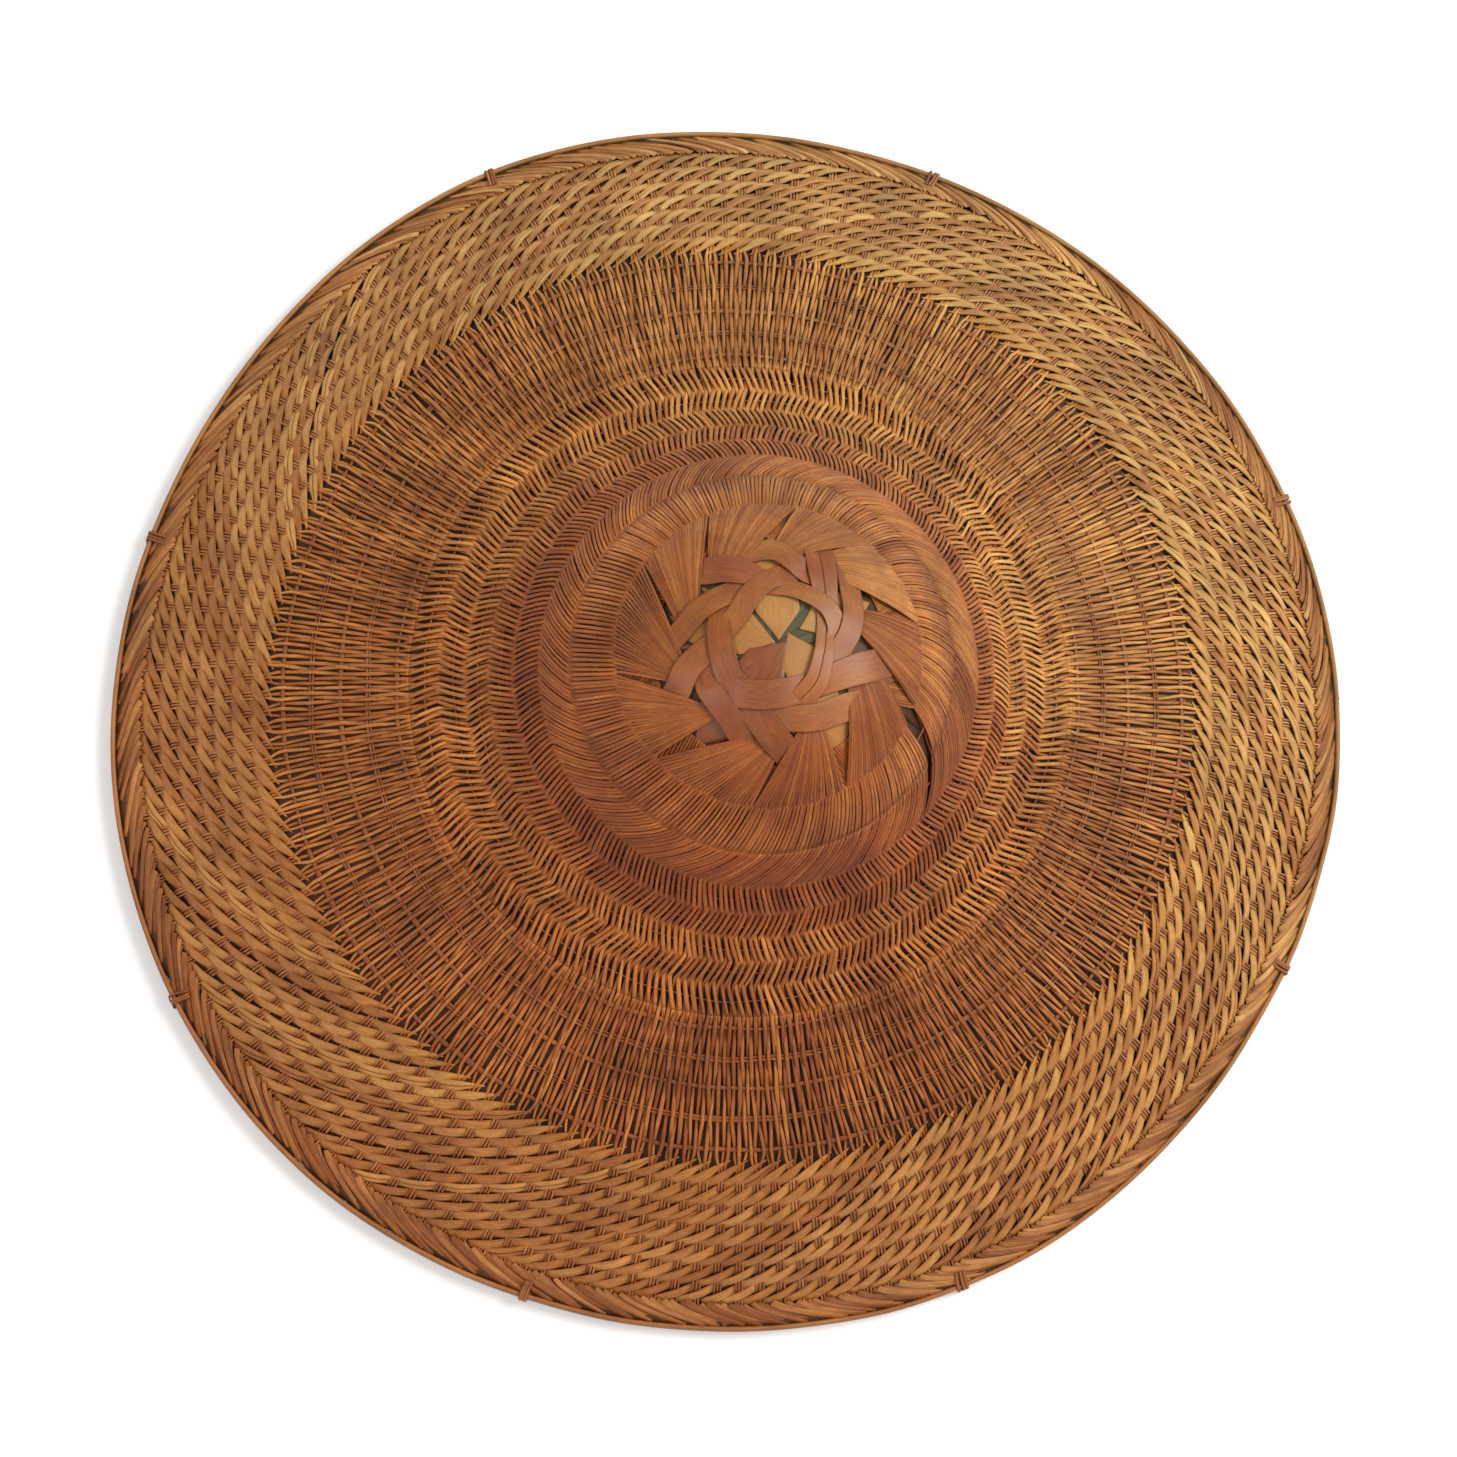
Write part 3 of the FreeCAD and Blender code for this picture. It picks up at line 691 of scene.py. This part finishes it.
whole = Piece()
whole.ribbon(
    centre[~cut], normal[~cut], wide[~cut], WEFT_THICKNESS, PLUMP,
    roll=roll[~cut], tint=tints[~cut],
)
whole.make("brim_wefts", weft_paint, "brim_wefts")
halves = Piece()
for side in (-1, 1):
    halves.ribbon(
        centre[cut], normal[cut], wide[cut] * (0.5 + side * 0.06) * 0.97, WEFT_THICKNESS, PLUMP,
        shift=side * wide[cut] * 0.25 + 0.03, roll=WEFT_ROLL + side * 2,
        tint=np.clip(tints[cut] + side * 0.12, 0, 1),
    )
halves.make("brim_wefts_split", weft_paint, "brim_wefts")

# the wefts' ends, folded over and tucked: three layers of (degrees on, width, depth)
FOLD_LAYERS = ((0.0, 2.9, 0.1), (0.6, 2.7, 0.35), (1.3, 2.6, 0.6))
FOLD_RADIUS, FOLD_REACH, FOLD_TRAVEL = 238.4, 9.1, 25
FOLD_HEIGHT, FOLD_ROLL = 1.3, -10
legs = Piece()
t = np.linspace(0, 1, 12)[None, :]
for late, wide, low in FOLD_LAYERS:
    travel = FOLD_TRAVEL + each_weft(0, 2.5) - 4 * low
    a = middle - (LAST_CROSS + 0.45) * GROUP + late
    a = a + np.degrees(travel / 242) * t + each_weft(0, 0.12)
    r = FOLD_RADIUS + late * 0.4 + (FOLD_REACH - late * 0.4) * t**0.75 + each_weft(0, 0.25)
    centre, normal = place(r, a, FOLD_HEIGHT - low - 0.6 * t)
    wide = wide * each_weft(1, 0.12) * (1 - 0.3 * t**2)
    tints = np.clip(rng.normal(0.5 - low * 0.5, 0.25, WEFTS), 0, 1)
    legs.ribbon(centre, normal, wide, WEFT_THICKNESS, PLUMP, roll=FOLD_ROLL, tint=tints)
legs.make("edge_braid", braid_paint, "edge_braid")

# ---------------------------------------------------------------- crown


def spline(points, per):
    """A smooth path through rows of numbers, with so many steps for each row."""
    p = np.array(points, float)
    p = np.concatenate([[2 * p[0] - p[1]], p, [2 * p[-1] - p[-2]]])
    rows = []
    for k in range(1, len(p) - 2):
        t = np.linspace(0, 1, per, endpoint=(k == len(p) - 3))[:, None]
        a, b, c, d = p[k - 1 : k + 3]
        bend = (2 * a - 5 * b + 4 * c - d) * t**2 + (3 * b - a - 3 * c + d) * t**3
        rows.append(0.5 * (2 * b + (c - a) * t + bend))
    return np.concatenate(rows)


SPLINT_THICKNESS, SLIVER_GAP = 0.38, 0.12


def crown_splint(name, points, tint, slivers=1):
    """A splint through rows of (radius, azimuth, height, width), or slivers side by side."""
    path = spline([(*plan(r, a), *rest) for r, a, *rest in points], 8)
    r, a = polar(path[:, 0], path[:, 1], 0)
    centre, normal = place(r, a, path[:, 2])
    wide = path[:, 3]
    gap = SLIVER_GAP if slivers > 1 else 0
    edges = np.linspace(-0.5, 0.5, slivers + 1)
    piece = Piece()
    for k, (low, high) in enumerate(zip(edges, edges[1:])):
        piece.ribbon(
            centre[None], normal[None], (wide * (high - low) - gap)[None], SPLINT_THICKNESS,
            THIN, shift=(wide * (low + high) / 2)[None], tint=tint + 0.05 * k,
        )
    piece.make(name, splint_paint, name)


OUTER = [
    [
        (41.4, -178, -0.5, 9), (35.2, 172, 0.2, 9), (31, 156.4, 0.8, 9.2), (27.8, 142, 0.8, 9),
        (25.8, 124, -0.3, 9), (30, 108, -0.5, 9),
    ],
    [
        (37.5, 113, -0.5, 9), (37.8, 98, 0.2, 9.4), (37, 86.5, 0.8, 9.3), (33.9, 76, 0.8, 9),
        (32, 65.6, -0.3, 9), (34.2, 52.6, -0.5, 9),
    ],
    [
        (45.8, 52, -0.5, 8.6), (37.9, 39, 0.2, 8.6), (33.6, 25.4, 0.8, 8.8),
        (29.7, 12.7, 0.8, 8.8), (25.4, -4, -0.3, 8.8), (27, -20, -0.5, 9),
    ],
    [
        (40.5, -30, -0.5, 11), (35.6, -38, 0.2, 10.8), (31.2, -56, 0.8, 10.4),
        (28.2, -72.6, 0.8, 10), (27.2, -84.7, -0.3, 9), (29, -100, -0.5, 9),
    ],
    [
        (41.4, -102, -0.5, 9), (33, -115, 0.2, 9.2), (29.5, -131.5, 0.8, 9.4),
        (28.9, -146, 0.8, 9), (27.4, -156, -0.3, 9), (29, -170, -0.5, 9),
    ],
]
INNER = [
    [
        (44.4, 135.6, -0.6, 12), (38.7, 130.7, 0.3, 12), (33.8, 119, 0.8, 11.5),
        (28.6, 106, 0.2, 9.5), (24, 95, -0.6, 8), (23.2, 74, 0.2, 7.2), (23.8, 55, 0.8, 7.2),
        (25.4, 36.7, 0.8, 7.6), (25.4, 21, 0.2, 7.8), (24.8, 4, -0.5, 8), (27.5, -10, -0.5, 8),
    ],
    [
        (47, 68.4, -0.6, 11.5), (41.1, 64, 0.3, 11.5), (35, 57.3, 0.8, 11.5),
        (29.2, 47.3, 0.2, 10), (23.6, 30.7, -0.6, 8), (20.3, 12.3, -0.2, 7.8),
        (18.9, -10, 0.8, 8), (20.6, -39, 0.8, 9.2), (22.4, -62, 0.2, 9.2),
        (26.3, -76.4, -0.5, 9), (31.6, -82.5, -0.5, 9),
    ],
    [
        (48.3, -1.5, -0.6, 12), (40.5, -7, 0.3, 12), (33.3, -13, 0.8, 12),
        (25.7, -25.6, 0.2, 11), (20.6, -46.4, -0.6, 10.5), (18.4, -71, 0.3, 11),
        (19, -101, 0.8, 11.3), (22.2, -126, 0.4, 11), (25, -139, -0.5, 9),
        (29.9, -145.6, -0.5, 9),
    ],
    [
        (41.6, -79.7, -0.6, 11), (37.8, -83.4, 0.3, 11), (32.8, -90.5, 0.8, 11),
        (27.1, -102, 0.2, 11), (21.6, -120, -0.6, 10), (20.2, -144.6, 0.3, 9.8),
        (19.2, -172.8, 0.8, 10), (21.5, -198, 0.7, 8.6), (23.9, -214.6, -0.4, 8),
        (29.5, -224.5, -0.5, 8),
    ],
    [
        (43.4, -151.8, -0.6, 10.5), (38.2, -155.7, 0.3, 10.5), (33.3, -163.8, 0.8, 10.5),
        (27.2, -172.4, 0.2, 10), (20.1, -190.4, -0.6, 9), (17.8, -225.6, 0.5, 8.8),
        (20.8, -245.4, 0.8, 8.8), (24.7, -263.8, 0.6, 8.4), (29.2, -279.7, -0.4, 8),
        (36.3, -286.7, -0.5, 8),
    ],
]
OUTER_TINTS, INNER_TINTS = (0.45, 0.7, 0.3, 0.6, 0.25), (0.55, 0.4, 0.35, 0.2, 0.5)
INNER_SLIVERS = (1, 2, 1, 1, 1)
for k in range(5):
    crown_splint(f"crown_outer_splint_{k + 1}", OUTER[k], OUTER_TINTS[k])
    crown_splint(f"crown_inner_splint_{k + 1}", INNER[k], INNER_TINTS[k], INNER_SLIVERS[k])

# pointed filler splints under the others: inner point, outer point, width, tint, material
GUSSET_HEIGHT, GUSSET_THICKNESS = -1.2, 0.3
GUSSETS = [
    ((12, 34), (42.5, 27), 15.5, 0.7, gusset_paint),
    ((3, 43), (46, 89.5), 17, 0.55, gusset_paint),
    ((1.5, 61), (40.4, 162.5), 16.5, 0.5, gusset_paint),
    ((5.8, 18), (46.8, -128), 18, 0.12, splint_paint),
    ((7.6, 43), (48.5, -55), 15.5, 0.6, gusset_paint),
]
for number, (inner, outer, wide, tint, paint) in enumerate(GUSSETS, start=1):
    p, q = np.array(plan(*inner)), np.array(plan(*outer))
    length = np.linalg.norm(q - p)
    s = np.linspace(0, length, 40)
    line = p + (q - p) * (s / length)[:, None]
    centre, normal = place(*polar(line[:, 0], line[:, 1], 0), GUSSET_HEIGHT - 0.05 * number)
    shape = np.minimum(np.minimum(s / (wide * 0.68), (length - s) / (wide * 0.6)), 1)
    shape = np.maximum(wide * shape, 0.2)
    piece = Piece()
    piece.ribbon(centre[None], normal[None], shape[None], GUSSET_THICKNESS, FLAT, tint=tint)
    name = f"crown_gusset_{number}"
    piece.make(name, paint, name)

# ---------------------------------------------------------------- leaf lining

LEAVES = 24
HALF_LEAF = 9.2  # degrees, so that neighbouring leaves overlap
TORN_LAYERS = 3
MM_PER_DEGREE = 4.3  # along the rim


def sheet(r, a, h, above, below):
    """Corners of a closed sheet about a surface given as rows of stations."""
    top, low = place(r, a, h + above)[0], place(r, a, h - below)[0]
    return np.concatenate([top, low[:, ::-1]], 1)[None]


lining = Piece()
spread = np.linspace(-HALF_LEAF, HALF_LEAF, 11)
radii = np.concatenate([np.linspace(1.5, 236, 48), np.linspace(239, 246, 6)])[:, None]
level = -1.95 - 0.25 * (spread / HALF_LEAF) + 0.1 * np.sin(spread * 1.7)
across = np.concatenate([spread, spread[::-1]]) / HALF_LEAF
for k in range(LEAVES):
    r, a = radii + 0 * spread, k * 360 / LEAVES + spread
    r[-3:] += rng.normal(0, 0.45, r[-3:].shape)
    lining.grid(sheet(r, a, level, 0.12, 0.1), r[:, :1], across, rng.uniform(0.2, 0.8))
# the torn outer edge of the leaf, tucked down behind the hoop
a = np.arange(0, 360, 0.5)
for k in range(TORN_LAYERS):
    torn = np.cumsum(np.random.default_rng(60 + k).normal(0, 1, len(a)))
    smooth = np.convolve(np.tile(torn, 3), np.ones(15) / 15, "same")[len(a) : 2 * len(a)]
    torn = (torn - smooth) * 0.28
    outer = 247.6 + 0.25 * k + np.clip(torn, -1.0, 1.1)
    r = np.stack([243.5 + 0 * a, 245.6 + 0 * a, outer], 1)
    h = np.stack([-0.8 + 0 * a, 0.3 + 0.2 * k + 0 * a, -0.5 + 0.5 * k + 0.4 * torn], 1)
    along = a[:, None] * MM_PER_DEGREE
    points = sheet(r, a[:, None], h, 0.12, 0.12)
    lining.grid(points, along, np.linspace(-1, 1, 6), 0.3 + 0.2 * k, ring=True)
lining.make("leaf_lining", leaf_paint, "leaf_lining")

# ---------------------------------------------------------------- rim


def hoop(name, outer, thick, low, tall):
    """A bent split-cane hoop, standing on its edge."""
    a = np.arange(0, 360, 1.0)
    reach = outer - thick / 2 + rim_wave(a) + 0.15 * wobble(a, 5, 6, 30)
    x, y = plan(reach, a)
    centre = np.stack([x, y, np.full_like(x, low + tall / 2)], -1) / 1000
    normal = np.broadcast_to((0, 0, 1.0), centre.shape)
    piece = Piece()
    piece.ribbon(centre[None], normal[None], thick, tall, BOX, ring=True)
    piece.make(name, hoop_paint, name)


hoop("outer_hoop", 250, 2.0, 0, 8.4)
hoop("inner_hoop", 244.2, 3.2, 0.3, 4.6)

LASHINGS_AT = (22.5, 70, 114, 163.5, 208, 250.5, 292, 336)
LASHING_STEP = 0.31  # degrees between the turns of a lashing
LASHING_WIDTH, LASHING_THICKNESS = 1.3, 0.5
# a turn of lashing round both hoops and the weave's edge, as (radius, height)
LOOP = [
    (243.4, 0.4), (246.5, 0.35), (250.5, 0.5), (250.7, 4.5), (250.5, 8.7),
    (248.6, 9.5), (246, 10.2), (243.4, 11.2), (243.2, 6),
]
LOOP_MIDDLE = (245, 6)
path = spline(LOOP + LOOP[:1], 5)[:-1]
round_loop = np.linspace(0, 2 * np.pi, len(path), endpoint=False)
lash = Piece()
for at in LASHINGS_AT:
    for turn in (-1, 0, 1):
        skew = rng.uniform(0.05, 0.25) * np.cos(round_loop)
        a = at + turn * LASHING_STEP + rng.normal(0, 0.05) + skew
        x, y = plan(path[:, 0] + rim_wave(at), a)
        centre = np.stack([x, y, path[:, 1]], -1) / 1000
        middle = np.array([*plan(LOOP_MIDDLE[0] + rim_wave(at), a[0]), LOOP_MIDDLE[1]]) / 1000
        normal = unit(centre - middle)
        lash.ribbon(
            centre[None], normal[None], LASHING_WIDTH, LASHING_THICKNESS, ROUND,
            tint=rng.uniform(0.2, 0.8), ring=True,
        )
lash.make("hoop_lashings", lash_paint, "hoop_lashings")

# ---------------------------------------------------------------- kept parts of the frame

for name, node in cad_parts.items():
    if name.startswith(("frame_rib", "frame_ring", "head_ring")):
        node.data.materials.clear()
        node.data.materials.append(lash_paint if name == "head_ring_ties" else bamboo_paint)

# ---------------------------------------------------------------- floor, lights and camera
# lengths from here on are metres

FLOOR_HALF = 4
floor = bpy.data.meshes.new("floor")
corners = [(FLOOR_HALF * x, FLOOR_HALF * y, 0) for x, y in ((-1, -1), (1, -1), (1, 1), (-1, 1))]
floor.from_pydata(corners, [], [(0, 1, 2, 3)])
floor = bpy.data.objects.new("floor", floor)
bpy.context.collection.objects.link(floor)
ground = Nodes("floor")
ground.shader.inputs["Base Color"].default_value = (0.93, 0.93, 0.93, 1)
ground.shader.inputs["Roughness"].default_value = 0.9
ground.shader.inputs["Emission Color"].default_value = (1, 1, 1, 1)
ground.shader.inputs["Emission Strength"].default_value = 0.2
floor.data.materials.append(ground.material)

LIT_POINT = Vector((0, 0, 0.05))


def lamp(name, spot, size, power, colour):
    """A round soft light that faces the hat."""
    light = bpy.data.lights.new(name, "AREA")
    light.shape = "DISK"
    light.size = size
    light.energy = power
    light.color = colour
    made = bpy.data.objects.new(name, light)
    bpy.context.collection.objects.link(made)
    made.location = spot
    made.rotation_euler = (LIT_POINT - Vector(spot)).to_track_quat("-Z", "Y").to_euler()


lamp("key", (1.75, 0.55, 2.35), 1.6, 62, (1, 0.98, 0.95))
lamp("fill", (-1.15, -0.5, 2.1), 0.7, 9, (1, 1, 1))
world = bpy.data.worlds.new("studio")
bpy.context.scene.world = world
world.use_nodes = True
world.node_tree.nodes["Background"].inputs["Color"].default_value = (1, 1, 1, 1)
world.node_tree.nodes["Background"].inputs["Strength"].default_value = 0.5

CAMERA_DISTANCE = 1.6
camera = bpy.data.cameras.new("camera")
camera.lens = 96.6
camera.sensor_width = 36
eye = bpy.data.objects.new("camera", camera)
bpy.context.collection.objects.link(eye)
target = Vector((-0.001, -0.004, 0.003))
eye.location = target + Vector((-0.0833, -0.18, 0.9801)) * CAMERA_DISTANCE
back = (eye.location - target).normalized()
right = Vector((0, 1, 0)).cross(back).normalized()
eye.rotation_euler = Matrix((right, back.cross(right), back)).transposed().to_euler()
bpy.context.scene.camera = eye
bpy.context.scene.view_settings.view_transform = "Standard"
